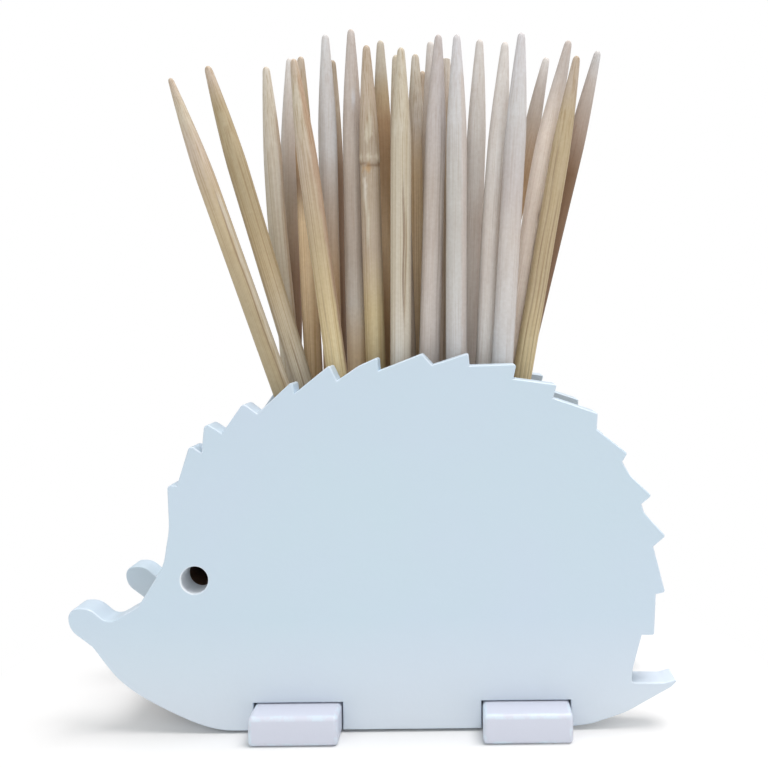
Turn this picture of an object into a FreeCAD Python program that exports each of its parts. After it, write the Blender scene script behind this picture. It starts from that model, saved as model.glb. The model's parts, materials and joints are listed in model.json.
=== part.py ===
import FreeCAD, Part
import math
import os
import Sketcher

# A toothpick stand in the shape of a hedgehog, seen from the side.
#
# Two equal board plates carry the outline: nose, forehead, saw-tooth back and tail.
# Four U-shaped layers are glued between them and leave a slot that opens upwards.
# Two bars cross under the layers, sit in notches of both plates and are the feet.
# Toothpicks stand in the slot, five deep, fanned out, and are the spines.
#
# Frame: +Z up, +X from the nose to the tail, the front plate faces -Y.
# Origin: on the table, halfway from nose to tail, in the middle of the stack.

SIZES = [
    # alias, millimetres, what it is
    ("body_length", 58.5, "plate, nose to tip of the tail"),
    ("body_height", 36.1, "plate, belly to the highest tooth"),
    ("board", 2.8, "thickness of the plates and the bars"),
    ("layer_count", 4, "U-shaped layers between the plates"),
    ("belly_lift", 0.25, "table to the belly of the plates"),
    ("web", 1.6, "height of a layer under the slot"),
    ("bar_width", 8.4, "bar, along X"),
    ("bar_overhang", 2.8, "bar, past the face of each plate"),
    ("bar_round", 0.45, "rounding of the bar's edges"),
    ("notch_clearance", 0.1, "notch to bar, on three sides"),
    ("eye_diameter", 2.6, "bore of the eye"),
    ("slot_clearance", 0.25, "end walls of the slot to the nearest toothpick"),
    ("birch_length", 64.8, "birch toothpick, point to point"),
    ("birch_diameter", 2.0, "birch toothpick"),
    ("bamboo_length", 63.2, "bamboo toothpick, point to point"),
    ("bamboo_diameter", 1.9, "bamboo toothpick"),
    ("point_diameter", 0.58, "toothpick where its taper ends"),
    ("point_flat", 0.36, "flat at the very end of a toothpick"),
    ("point_blunting", 0.14, "length of the blunted end"),
    ("point_taper", 10.5, "length of the tapered end"),
    ("row_clearance", 0.12, "stoutest toothpick to the one behind it"),
    ("foot_clearance", 0.02, "toothpick to the floor of the slot"),
]

# The outline was drawn at this length and height; body_length and body_height stretch it.
DRAWN_LENGTH = 58.5
DRAWN_HEIGHT = 36.1

# Corners of the plate, clockwise: from the nose, up from the belly, rounding.
TOOTH = 0.22        # rounding of a tooth's tip
WORN_TOOTH = 0.4    # rounding of the tips over the forehead, which are sanded more
NOTCH = 0           # the notch behind a tooth is cut sharp
PLATE_OUTLINE = [
    (0.0, 11.95, 1.2), (2.05, 11.95, 2.0),                          # nose
    (3.85, 10.4, 1.3), (6.75, 12.05, 0.8),                          # bridge
    (9.2, 15.9, 4.0), (9.8, 19.5, 8.0),                             # forehead
    (9.65, 23.75, WORN_TOOTH), (10.6, 23.65, NOTCH),                # each tooth: tip, notch
    (11.85, 27.6, WORN_TOOTH), (13.0, 26.8, NOTCH),
    (13.3, 29.75, WORN_TOOTH), (15.0, 28.65, NOTCH),
    (17.05, 31.55, WORN_TOOTH), (18.4, 30.5, NOTCH),
    (21.8, 33.6, TOOTH), (22.0, 32.4, NOTCH),
    (25.4, 35.1, TOOTH), (26.1, 33.6, NOTCH), (28.2, 35.0, 2.0),
    (30.0, 35.8, TOOTH), (30.1, 34.5, NOTCH),
    (34.3, 36.1, TOOTH), (35.3, 35.0, NOTCH),
    (38.8, 36.1, TOOTH), (38.9, 34.9, NOTCH),
    (43.4, 35.0, TOOTH), (43.1, 33.6, NOTCH),
    (47.3, 33.0, TOOTH), (46.9, 31.7, NOTCH),
    (51.2, 30.2, TOOTH), (51.1, 28.6, NOTCH),
    (54.0, 26.3, TOOTH), (53.5, 25.5, NOTCH), (54.3, 24.1, 2.0),
    (56.3, 22.2, TOOTH), (55.3, 21.4, NOTCH), (55.6, 20.5, 1.0),
    (57.6, 18.3, TOOTH), (56.4, 17.3, NOTCH),
    (57.5, 12.9, TOOTH), (56.6, 12.7, NOTCH),
    (56.4, 8.8, TOOTH), (55.2, 8.8, NOTCH),
    (54.3, 5.6, 2.0), (54.2, 4.25, 0.2),                            # root of the tail
    (57.3, 4.2, 1.5), (58.83, 4.63, 0.15), (58.0, 3.8, 0.8),        # tail
    (53.6, 1.4, 8.0), (50.2, 0.3, 6.0), (47.5, 0.0, 6.0),           # rump
    (15.2, 0.0, 4.0), (8.8, 2.3, 8.0),                              # belly and chin
    (4.9, 4.9, 5.0), (2.3, 8.2, 0.3), (0.0, 9.95, 2.1),
]

# Corners of a layer over the bars, in the same drawing, a little inside the plate.
LAYER_OUTLINE = [
    (5.2, 9.2, 1.5), (9.0, 14.4, 2.0), (10.9, 17.3, 3.0),
    (11.3, 22.3, 3.0), (13.4, 26.0, 2.0), (16.7, 29.0, 1.0),
    (45.9, 30.4, 1.0), (49.4, 28.4, 2.0), (52.8, 23.0, 4.0),
    (54.9, 17.0, 3.0), (54.0, 9.5, 3.0), (52.6, 4.8, 1.5),
]
LAYER_FOOT = (11.6, 51.4)     # ends of the straight foot of a layer, in the same drawing
LAYER_CHIN = (6.4, 5.8, 2.0)
LAYER_FOOT_ROUND = 0.8

EYE = (12.2, 14.55)           # centre of the eye, in the same drawing
BAR_PLACES = {"foot_bar_left": 22.05, "foot_bar_right": 44.0}

# Toothpicks: name, wood, foot across and foot in depth from the middle of the stand, both
# in row pitches, lean towards the tail and tilt towards the back in degrees, girth and
# length against what is usual for the wood.
ROWS = 5
STICK_SIDES = 20              # a toothpick is planed nearly round, in this many flats
TOOTHPICKS = [
    ("far_left", "bamboo", 0.12, -1.52, -18.9, -1.1, 0.99, 0.999),
    ("stout_left", "bamboo", 0.13, -2.10, -7.6, 1.2, 1.09, 0.989),
    ("split_middle", "bamboo", 1.06, -1.70, 0.6, 0.0, 1.11, 0.995),
    ("front_middle", "birch", 1.93, -1.70, 2.2, 1.4, 1.05, 0.999),
    ("front_pale", "birch", 3.54, -1.88, 0.7, 0.4, 1.06, 0.990),
    ("front_right", "birch", 4.82, -1.98, 4.0, 0.4, 1.06, 0.993),
    ("second_left", "birch", -2.02, 0.27, -0.5, -1.4, 0.98, 1.007),
    ("upright_left", "birch", -1.02, 0.31, -0.1, -1.5, 1.02, 1.015),
    ("second_middle", "bamboo", 1.77, 0.27, 0.2, 0.7, 1.04, 1.010),
    ("second_right", "birch", 4.08, -1.38, 4.1, 1.3, 1.04, 0.991),
    ("yellow_right", "bamboo", 4.39, -0.58, 10.2, -1.6, 1.05, 0.998),
    ("wide_left", "bamboo", 0.33, -0.67, -16.0, -1.5, 1.07, 1.010),
    ("knotted", "bamboo", 0.17, -0.09, -0.9, -2.2, 1.08, 1.006),
    ("third_middle", "bamboo", 1.75, -0.71, -1.5, 0.5, 1.00, 0.997),
    ("third_pale", "birch", 2.63, -0.54, 0.0, 0.9, 0.98, 0.998),
    ("third_right", "birch", 3.65, 0.76, 2.6, -1.2, 1.00, 1.004),
    ("wide_right", "birch", 3.48, -0.07, 11.2, -0.8, 1.02, 1.011),
    ("fourth_left", "bamboo", -3.20, 0.22, -4.4, 1.2, 1.04, 0.996),
    ("fourth_brown", "bamboo", -2.96, 1.25, -1.4, -1.1, 1.02, 1.009),
    ("fourth_narrow", "bamboo", -1.99, 1.61, -0.4, -1.1, 1.00, 1.006),
    ("fourth_middle", "birch", 0.04, 0.76, 0.3, -0.3, 0.98, 1.008),
    ("fourth_right", "bamboo", 2.89, 0.31, 0.9, 1.2, 1.02, 1.027),
    ("far_right", "birch", 3.57, 1.56, 13.9, -2.5, 0.97, 1.013),
    ("back_left", "birch", -4.85, 1.96, 0.9, -0.4, 0.97, 0.993),
    ("back_middle", "bamboo", 0.84, 1.88, 2.7, -0.2, 1.02, 0.994),
    ("back_right", "birch", 1.62, 1.74, 13.1, -1.3, 0.98, 1.008),
]
SNAPPED_POINTS = {"fourth_right": 1.5}    # millimetres of the upper point that are gone

document = FreeCAD.newDocument("toothpick_stand")


def make_sheet():
    sheet = document.addObject("Spreadsheet::Sheet", "Sizes")
    for row, (alias, value, meaning) in enumerate(SIZES, start=1):
        sheet.set(f"A{row}", alias)
        sheet.set(f"B{row}", str(value))
        sheet.setAlias(f"B{row}", alias)
        sheet.set(f"C{row}", meaning)
    document.recompute()
    return sheet


sizes = make_sheet()


def number(text):
    """The value of an expression on the sheet's aliases."""
    return float(sizes.evalExpression(text))


# Sizes that follow from the sheet, written as expressions.
STOUTEST = {wood: max(girth for _, kind, *_, girth, _ in TOOTHPICKS if kind == wood)
            for wood in ("birch", "bamboo")}
ROW_PITCH = (f"(max(Sizes.birch_diameter * {STOUTEST['birch']}; "
             f"Sizes.bamboo_diameter * {STOUTEST['bamboo']}) + Sizes.row_clearance)")
GAP = f"({ROW_PITCH} * {ROWS})"
LAYER = f"({GAP} / Sizes.layer_count)"
DEPTH = f"({GAP} + 2 * Sizes.board)"
NOTCH_TOP = "(Sizes.board + Sizes.notch_clearance)"
SLOT_FLOOR = "(Sizes.board + Sizes.web)"


def from_nose(distance):
    """Expression for X of a point drawn this far from the nose."""
    return f"({distance / DRAWN_LENGTH:.6f} - 0.5) * Sizes.body_length"


def above_belly(height):
    """Expression for Z of a point drawn this high above the belly."""
    return f"{height / DRAWN_HEIGHT:.6f} * Sizes.body_height + Sizes.belly_lift"


def drawn(corners):
    """Corners of the drawing as real X, Z and rounding."""
    return [(number(from_nose(x)), number(above_belly(z)), radius) for x, z, radius in corners]


def new_body(name):
    body = document.addObject("PartDesign::Body", name)
    body.Label = name
    return body


def sketch_on(body, role, name):
    """A sketch on one of the body's own origin planes."""
    sketch = body.newObject("Sketcher::SketchObject", name)
    plane = next(item for item in body.Origin.OriginFeatures if item.Role == role)
    sketch.AttachmentSupport = [(plane, "")]
    sketch.MapMode = "FlatFace"
    return sketch


def rounded_outline(sketch, corners):
    """Draw a closed outline of straight lines, with a tangent arc at each rounded corner."""
    arcs = []
    for index, (x, z, radius) in enumerate(corners):
        corner = FreeCAD.Vector(x, z, 0)
        if radius == 0:
            arcs.append((corner, None, corner))
            continue
        x_before, z_before, _ = corners[index - 1]
        x_after, z_after, _ = corners[(index + 1) % len(corners)]
        before = FreeCAD.Vector(x_before, z_before, 0) - corner
        after = FreeCAD.Vector(x_after, z_after, 0) - corner
        half_angle = before.getAngle(after) / 2
        longest = 0.49 * min(before.Length, after.Length)
        tangent = min(radius / math.tan(half_angle), longest)
        fitted = tangent * math.tan(half_angle)
        before.normalize()
        after.normalize()
        inward = before + after
        inward.normalize()
        middle = corner + inward * (fitted / math.sin(half_angle) - fitted)
        arcs.append((corner + before * tangent, middle, corner + after * tangent))
    for index, (start, middle, end) in enumerate(arcs):
        next_start = arcs[(index + 1) % len(arcs)][0]
        if middle is not None:
            sketch.addGeometry(Part.ArcOfCircle(start, middle, end), False)
        sketch.addGeometry(Part.LineSegment(end, next_start), False)


def bind(sketch, kind, geometry, point, text):
    """Hold one coordinate of a point to an expression."""
    constraint = Sketcher.Constraint(kind, -1, 1, geometry, point, number(text))
    index = sketch.addConstraint(constraint)
    sketch.setExpression(f"Constraints[{index}]", text)


def bound_polygon(sketch, corners):
    """A closed polygon whose corners are pairs of expressions."""
    points = [FreeCAD.Vector(number(x), number(z), 0) for x, z in corners]
    first = sketch.GeometryCount
    count = len(points)
    for index, point in enumerate(points):
        sketch.addGeometry(Part.LineSegment(point, points[(index + 1) % count]), False)
    for index, (x, z) in enumerate(corners):
        line = first + index
        following = first + (index + 1) % count
        sketch.addConstraint(Sketcher.Constraint("Coincident", line, 2, following, 1))
        bind(sketch, "DistanceX", line, 1, x)
        bind(sketch, "DistanceY", line, 1, z)


def pad(body, sketch, name, length):
    """Pad a side-view sketch towards the back."""
    feature = body.newObject("PartDesign::Pad", name)
    feature.Profile = sketch
    feature.setExpression("Length", length)
    feature.Reversed = True
    sketch.Visibility = False
    return feature


def cut_through(body, sketch, name):
    """Cut a side-view sketch through the whole board, and see that it did cut."""
    document.recompute()
    volume = body.Shape.Volume
    feature = body.newObject("PartDesign::Pocket", name)
    feature.Profile = sketch
    feature.Type = "ThroughAll"
    sketch.Visibility = False
    document.recompute()
    if body.Shape.Volume >= volume:
        raise RuntimeError(f"{name} cuts nothing from {body.Label}")
    return feature


def cut_eye(body):
    sketch = sketch_on(body, "XZ_Plane", f"{body.Label}_eye_sketch")
    centre = FreeCAD.Vector(number(from_nose(EYE[0])), number(above_belly(EYE[1])), 0)
    normal = FreeCAD.Vector(0, 0, 1)
    sketch.addGeometry(Part.Circle(centre, normal, number("Sizes.eye_diameter / 2")), False)
    bind(sketch, "DistanceX", 0, 3, from_nose(EYE[0]))
    bind(sketch, "DistanceY", 0, 3, above_belly(EYE[1]))
    radius = sketch.addConstraint(Sketcher.Constraint("Radius", 0, number("Sizes.eye_diameter / 2")))
    sketch.setExpression(f"Constraints[{radius}]", "Sizes.eye_diameter / 2")
    cut_through(body, sketch, f"{body.Label}_eye")


def make_plate(name, front):
    """A plate with the hedgehog's outline, the eye and two notches for the bars."""
    body = new_body(name)
    outline = sketch_on(body, "XZ_Plane", f"{name}_outline")
    rounded_outline(outline, drawn(PLATE_OUTLINE))
    pad(body, outline, f"{name}_board", "Sizes.board")
    notches = sketch_on(body, "XZ_Plane", f"{name}_notches")
    half_notch = "(Sizes.bar_width / 2 + Sizes.notch_clearance)"
    for place in BAR_PLACES.values():
        left = f"{from_nose(place)} - {half_notch}"
        right = f"{from_nose(place)} + {half_notch}"
        bound_polygon(notches, [(left, "-Sizes.board"), (right, "-Sizes.board"),
                                (right, NOTCH_TOP), (left, NOTCH_TOP)])
    cut_through(body, notches, f"{name}_notch_cut")
    cut_eye(body)
    body.setExpression("Placement.Base.y", front)
    return body


def slot_walls():
    """X of the slot's end walls at its floor and at its rim: left and right pairs."""
    pitch = number(ROW_PITCH)
    floor = number(SLOT_FLOOR)
    rim = number(above_belly(max(z for _, z, _ in LAYER_OUTLINE)))
    walls = []
    for height in (0.0, rim - floor):
        left = []
        right = []
        for _, wood, across, _, lean, _, girth, _ in TOOTHPICKS:
            middle = across * pitch + height * math.tan(math.radians(lean))
            half = number(f"Sizes.{wood}_diameter") * girth / 2 / math.cos(math.radians(lean))
            left.append(middle - half)
            right.append(middle + half)
        clearance = number("Sizes.slot_clearance")
        walls.append((min(left) - clearance, max(right) + clearance))
    return floor, rim, walls


def make_layer(index):
    """One U-shaped layer: it stands on the bars and walls the slot at both ends."""
    name = f"slot_layer_{index + 1}"
    body = new_body(name)
    outline = sketch_on(body, "XZ_Plane", f"{name}_outline")
    foot_left, foot_right = (number(from_nose(x)) for x in LAYER_FOOT)
    foot = number("Sizes.board")
    corners = drawn([LAYER_CHIN] + LAYER_OUTLINE)
    corners += [(foot_right, foot, LAYER_FOOT_ROUND), (foot_left, foot, LAYER_FOOT_ROUND)]
    rounded_outline(outline, corners)
    pad(body, outline, f"{name}_board", LAYER)
    floor, rim, ((floor_left, floor_right), (rim_left, rim_right)) = slot_walls()
    over = number("Sizes.board")       # the cut runs on past the rim, along the same walls
    grow = over / (rim - floor)
    slot = sketch_on(body, "XZ_Plane", f"{name}_slot")
    rounded_outline(slot, [
        (floor_left, floor, 0.5),
        (rim_left + (rim_left - floor_left) * grow, rim + over, 0.1),
        (rim_right + (rim_right - floor_right) * grow, rim + over, 0.1),
        (floor_right, floor, 0.5),
    ])
    cut_through(body, slot, f"{name}_slot_cut")
    cut_eye(body)
    body.setExpression("Placement.Base.y", f"{LAYER} * {index} - {GAP} / 2")
    return body


def edges_where(feature, wanted):
    """Names of a feature's edges whose bounding box is as wanted."""
    return [f"Edge{index}" for index, edge in enumerate(feature.Shape.Edges, start=1)
            if wanted(edge.BoundBox)]


def make_bar(name, place):
    """A foot bar with softened edges, from before the front plate to behind the back one."""
    body = new_body(name)
    section = sketch_on(body, "XZ_Plane", f"{name}_section")
    half = "Sizes.bar_width / 2"
    bound_polygon(section, [(f"-{half}", "0 * Sizes.board"), (half, "0 * Sizes.board"),
                            (half, "Sizes.board"), (f"-{half}", "Sizes.board")])
    bar = pad(body, section, f"{name}_board", f"{DEPTH} + 2 * Sizes.bar_overhang")
    document.recompute()
    fillet = body.newObject("PartDesign::Fillet", f"{name}_long_edges")
    fillet.Base = (bar, edges_where(bar, lambda box: box.YLength > box.XLength + box.ZLength))
    fillet.setExpression("Radius", "min(Sizes.bar_round; Sizes.board * 0.45)")
    document.recompute()
    chamfer = body.newObject("PartDesign::Chamfer", f"{name}_ends")
    chamfer.Base = (fillet, edges_where(fillet, lambda box: box.YLength < box.XLength + box.ZLength))
    chamfer.setExpression("Size", "min(Sizes.bar_round; Sizes.board * 0.45) * 0.6")
    body.setExpression("Placement.Base.x", from_nose(place))
    body.setExpression("Placement.Base.y", f"-{DEPTH} / 2 - Sizes.bar_overhang")
    return body


def flat_sided_stick(rings):
    """A solid with flat sides through regular polygons, given as pairs of radius and height."""
    levels = []
    for radius, height in rings:
        levels.append([
            FreeCAD.Vector(radius * math.cos(turn), radius * math.sin(turn), height)
            for turn in (2 * math.pi * side / STICK_SIDES for side in range(STICK_SIDES))])
    loops = [levels[0], levels[-1]]
    for below, above in zip(levels, levels[1:]):
        for side in range(STICK_SIDES):
            after = (side + 1) % STICK_SIDES
            loops.append([below[side], below[after], above[after], above[side]])
    faces = [Part.Face(Part.makePolygon(loop + [loop[0]])) for loop in loops]
    solid = Part.makeSolid(Part.makeShell(faces))
    if solid.Volume < 0:
        solid.reverse()
    return solid


def make_toothpick(label, wood, across, depth, lean, tilt, girth, reach):
    """A double-pointed toothpick with flat sides, shaped upright, then leant and tilted."""
    name = f"toothpick_{label}"
    flat = number("Sizes.point_flat") / 2
    point = number("Sizes.point_diameter") / 2
    blunting = number("Sizes.point_blunting")
    taper = number("Sizes.point_taper")
    shaft = number(f"Sizes.{wood}_diameter") * girth / 2
    length = number(f"Sizes.{wood}_length") * reach
    rings = [(flat, 0), (point, blunting), (shaft, taper), (shaft, length - taper)]
    gone = SNAPPED_POINTS.get(label, 0)
    if gone > 0:
        left = (gone - blunting) / (taper - blunting)
        rings.append((point + (shaft - point) * left, length - gone))
    else:
        rings += [(point, length - blunting), (flat, length)]
    stick = document.addObject("Part::Feature", name)
    stick.Label = name
    stick.Shape = flat_sided_stick(rings)
    turned = FreeCAD.Rotation(FreeCAD.Vector(0, 1, 0), lean)
    turned = turned * FreeCAD.Rotation(FreeCAD.Vector(1, 0, 0), -tilt)
    off_vertical = turned.multVec(FreeCAD.Vector(0, 0, 1)).getAngle(FreeCAD.Vector(0, 0, 1))
    pitch = number(ROW_PITCH)
    stands_at = FreeCAD.Vector(
        across * pitch,
        depth * pitch,
        number(f"{SLOT_FLOOR} + Sizes.foot_clearance") + flat * math.sin(off_vertical))
    stick.Placement = FreeCAD.Placement(stands_at, turned)
    return stick


def check(pieces):
    """Stop if anything failed to build."""
    document.recompute()
    for item in document.Objects:
        if "Invalid" in item.State or "Error" in item.State:
            raise RuntimeError(f"{item.Label} is {item.State}")
    for piece in pieces:
        shape = piece.Shape
        if shape.isNull() or not shape.isValid() or len(shape.Solids) != 1:
            raise RuntimeError(f"{piece.Label} has no good solid")


parts = [
    make_plate("front_plate", f"-{DEPTH} / 2"),
    make_plate("back_plate", f"{GAP} / 2"),
]
for layer_index in range(round(number("Sizes.layer_count"))):
    parts.append(make_layer(layer_index))
for bar_name, bar_place in BAR_PLACES.items():
    parts.append(make_bar(bar_name, bar_place))
for toothpick in TOOTHPICKS:
    parts.append(make_toothpick(*toothpick))

check(parts)
os.makedirs("parts", exist_ok=True)
for part in parts:
    part.Shape.exportStep(f"parts/{part.Label}.step")
    print(f"{part.Label}: {part.Shape.Volume:.1f} mm3")
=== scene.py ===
# %% [markdown]
# # A hedgehog that holds toothpicks
#
# This stand is a stack of thin board. Two plates, cut to the outline of a hedgehog,
# are painted a bluish white. Four unpainted layers between them leave a slot; their dark
# brown is partly the board's own and partly painted shade. Two painted bars run across
# underneath as feet. Loose toothpicks of birch and bamboo lean in the slot and make the
# spines.
#
# Every size and place comes from the imported CAD model. We load it first, as a fixed
# frame, and then dress each of its pieces: shapes that need a softer edge or a livelier
# surface are rebuilt over the same outline, and the rest keep their CAD mesh.

# %% Load the imported model
import json
import math
import random

import bmesh
import bpy
from mathutils import Matrix, Vector, geometry


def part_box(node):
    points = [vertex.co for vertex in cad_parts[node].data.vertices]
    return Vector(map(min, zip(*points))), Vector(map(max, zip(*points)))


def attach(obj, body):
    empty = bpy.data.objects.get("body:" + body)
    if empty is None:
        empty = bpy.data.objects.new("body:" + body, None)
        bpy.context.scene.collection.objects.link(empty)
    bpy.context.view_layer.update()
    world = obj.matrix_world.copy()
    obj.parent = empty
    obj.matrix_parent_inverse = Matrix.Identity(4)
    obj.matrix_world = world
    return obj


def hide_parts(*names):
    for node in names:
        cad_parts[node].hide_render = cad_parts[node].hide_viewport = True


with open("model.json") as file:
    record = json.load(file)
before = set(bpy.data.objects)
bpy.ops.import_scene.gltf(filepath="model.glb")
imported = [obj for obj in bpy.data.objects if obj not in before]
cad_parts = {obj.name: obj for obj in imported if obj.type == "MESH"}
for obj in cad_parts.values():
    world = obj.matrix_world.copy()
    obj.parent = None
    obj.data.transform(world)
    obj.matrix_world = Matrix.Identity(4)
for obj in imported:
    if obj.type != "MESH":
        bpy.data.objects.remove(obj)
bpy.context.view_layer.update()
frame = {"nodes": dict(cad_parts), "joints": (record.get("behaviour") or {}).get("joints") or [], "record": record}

MM = 0.001

# %% [markdown]
# ## Helpers for shader nodes
#
# The sky, the table and every finish are made of shader nodes. They could be clicked
# together in the node editor, but a script is easier to read and to repeat. These
# helpers take a node's settings, values and links in one call, and add the two kinds
# that are needed most, a colour mix and a sum.

# %% Helpers for nodes
def node(tree, kind, values=None, links=None, **settings):
    """Add a node, set its properties and unlinked inputs, and link the others."""
    made = tree.nodes.new(kind)
    for key, value in settings.items():
        setattr(made, key, value)
    for key, value in (values or {}).items():
        made.inputs[key].default_value = value
    for key, source in (links or {}).items():
        tree.links.new(source, made.inputs[key])
    return made


def mix_colours(tree, factor, first, second, blend="MIX"):
    """Mix two colours, each a socket or three numbers, by a socket or a number."""
    made = tree.nodes.new("ShaderNodeMix")
    made.data_type = "RGBA"
    made.blend_type = blend
    for slot, value in ((0, factor), (6, first), (7, second)):
        if isinstance(value, bpy.types.NodeSocket):
            tree.links.new(value, made.inputs[slot])
        elif slot == 0:
            made.inputs[0].default_value = value
        else:
            made.inputs[slot].default_value = (*value, 1)
    return made.outputs[2]


def math_node(tree, operation, first, second=0.0, clamp=False):
    """One sum, of sockets or numbers."""
    made = tree.nodes.new("ShaderNodeMath")
    made.operation = operation
    made.use_clamp = clamp
    for slot, value in ((0, first), (1, second)):
        if isinstance(value, bpy.types.NodeSocket):
            tree.links.new(value, made.inputs[slot])
        else:
            made.inputs[slot].default_value = value
    return made.outputs[0]


# %% [markdown]
# ## The camera
#
# Such a little object is stood on a table and shot level, from straight in front of its
# flat side. The lens is a normal one. The picture is framed off-centre, which Blender
# does with the camera's shift, so upright edges stay upright. A roll of half a degree is
# what a hand-held camera has.

# %% Camera
CAMERA_AT = Vector((9.25, -90.13, 39.55)) * MM
ROLL_DEGREES = -0.6

camera_data = bpy.data.cameras.new("front_view")
camera_data.sensor_width = 36.0
camera_data.lens = 39.84
camera_data.shift_x = -0.1055
camera_data.shift_y = -0.0833
camera_data.clip_start = 0.005
camera_data.clip_end = 20.0
camera = bpy.data.objects.new("front_view", camera_data)
level = Matrix.Rotation(math.radians(90), 4, "X")
roll = Matrix.Rotation(math.radians(ROLL_DEGREES), 4, "Z")
camera.matrix_world = Matrix.Translation(CAMERA_AT) @ level @ roll
bpy.context.scene.collection.objects.link(camera)
bpy.context.scene.camera = camera
bpy.context.scene.view_settings.view_transform = "Standard"
print("camera in mm:", [round(x / MM, 2) for x in CAMERA_AT], "roll", ROLL_DEGREES)

# %% [markdown]
# ## Light
#
# White paint on a white table shows its shape only through soft shading, so the light
# is a big soft one from the upper left, over an even glow from all round. A second one
# in front stands for the bright room behind the camera and reaches into the gaps
# between the toothpicks. A third one overhead keeps the upward faces the palest. The
# sky could be left as bright as it looks, but then it would light the paint too much,
# so the camera is shown a plain white and the stand gets a weaker glow.

# %% World and lamps
WHITE = (1.0, 1.0, 1.0)


def sky(strength):
    """A world that glows at this strength and that the camera sees as plain white."""
    world = bpy.data.worlds.new("soft_studio")
    bpy.context.scene.world = world
    world.use_nodes = True
    tree = world.node_tree
    tree.nodes.clear()
    glow = node(tree, "ShaderNodeBackground", {"Color": (*WHITE, 1), "Strength": strength})
    white = node(tree, "ShaderNodeBackground", {"Color": (*WHITE, 1), "Strength": 1.0})
    path = node(tree, "ShaderNodeLightPath")
    mix = node(tree, "ShaderNodeMixShader",
               links={0: path.outputs["Is Camera Ray"], 1: glow.outputs[0], 2: white.outputs[0]})
    node(tree, "ShaderNodeOutputWorld", links={"Surface": mix.outputs[0]})


def soft_lamp(name, place, target, size, watts, colour=WHITE):
    """A round lamp of this size in metres, aimed at the target."""
    data = bpy.data.lights.new(name, "AREA")
    data.shape = "DISK"
    data.size = size
    data.energy = watts
    data.color = colour
    lamp = bpy.data.objects.new(name, data)
    lamp.location = place
    aim = Vector(target) - Vector(place)
    lamp.rotation_euler = aim.to_track_quat("-Z", "Y").to_euler()
    bpy.context.scene.collection.objects.link(lamp)
    print("lamp:", name, watts, "W")


sky(0.40)
soft_lamp("window_left", (-0.42, -0.48, 0.52), (0, 0, 0.035), 0.42, 0.85)
soft_lamp("room_in_front", (0.06, -0.80, 0.30), (0, 0, 0.035), 0.50, 1.0)
soft_lamp("ceiling", (0.20, 0.00, 0.76), (0, 0, 0.03), 0.50, 7.2, colour=(1.0, 0.96, 0.95))

# %% [markdown]
# ## The table
#
# The table is a plain pale plane that takes the soft shadow at the feet. A studio would
# curve a sheet of paper up behind the stand to hide the table's far edge. Here the plane
# stays flat and its material fades to the white of the backdrop further out, for the
# camera only, so the light that comes back from the table isn't changed by it.

# %% Table
TABLE_PAINT = (0.78, 0.79, 0.79)
FADE_START, FADE_END = 16.0 * MM, 44.0 * MM      # distances from the middle of the stand


def fading_table():
    mesh = bpy.data.meshes.new("table_top")
    plan = bmesh.new()
    bmesh.ops.create_grid(plan, x_segments=1, y_segments=1, size=6.0)
    plan.to_mesh(mesh)
    plan.free()
    table = bpy.data.objects.new("table_top", mesh)
    bpy.context.scene.collection.objects.link(table)
    material = bpy.data.materials.new("pale_table")
    material.use_nodes = True
    tree = material.node_tree
    tree.nodes.clear()
    place = node(tree, "ShaderNodeTexCoord")
    length = node(tree, "ShaderNodeVectorMath", links={0: place.outputs["Object"]}, operation="LENGTH")
    fade = node(tree, "ShaderNodeMapRange", {"From Min": FADE_START, "From Max": FADE_END},
                {"Value": length.outputs["Value"]})
    path = node(tree, "ShaderNodeLightPath")
    seen = math_node(tree, "MULTIPLY", fade.outputs["Result"], path.outputs["Is Camera Ray"])
    paint = node(tree, "ShaderNodeBsdfDiffuse", {"Color": (*TABLE_PAINT, 1)})
    white = node(tree, "ShaderNodeEmission", {"Strength": 1.0})
    mix = node(tree, "ShaderNodeMixShader", links={0: seen, 1: paint.outputs[0], 2: white.outputs[0]})
    node(tree, "ShaderNodeOutputMaterial", links={"Surface": mix.outputs[0]})
    mesh.materials.append(material)
    print("table:", table.name)


fading_table()

# %% [markdown]
# ## Effects that several finishes share
#
# Real surfaces are never one flat colour. Four small effects do most of the work here,
# and each is a node group with named inputs, so a finish can place it with its own
# values: a soft mottling between two colours, fibres drawn out along the grain, a fine
# relief for paint or raw board, and wear that follows the edges.
#
# A helper starts such a group. It makes the named sockets and the two nodes at the ends.

# %% Helper: start a node group
def make_group(name, inputs, outputs):
    """A shader node group with float, colour and vector sockets, and its two end nodes."""
    group = bpy.data.node_groups.new(name, "ShaderNodeTree")
    kinds = {"value": "NodeSocketFloat", "colour": "NodeSocketColor", "vector": "NodeSocketVector"}
    for label, kind, default in inputs:
        socket = group.interface.new_socket(label, in_out="INPUT", socket_type=kinds[kind])
        if default is not None:
            socket.default_value = (*default, 1) if kind == "colour" else default
    for label, kind in outputs:
        group.interface.new_socket(label, in_out="OUTPUT", socket_type=kinds[kind])
    given = group.nodes.new("NodeGroupInput")
    wanted = group.nodes.new("NodeGroupOutput")
    return group, given.outputs, wanted.inputs


# %% [markdown]
# ### Soft mottling
#
# Paint dries a little unevenly, board is darker where the glue is richer, and wood
# changes tone over a few millimetres. All of these are two near colours mixed by a
# slow noise. The group gives the mixed colour and its mask, so the same patches can
# also change the gloss.

# %% Group: soft mottling
NOISE_SPREAD = 2.2       # a noise keeps near its middle, and this spreads it over 0 to 1


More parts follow.
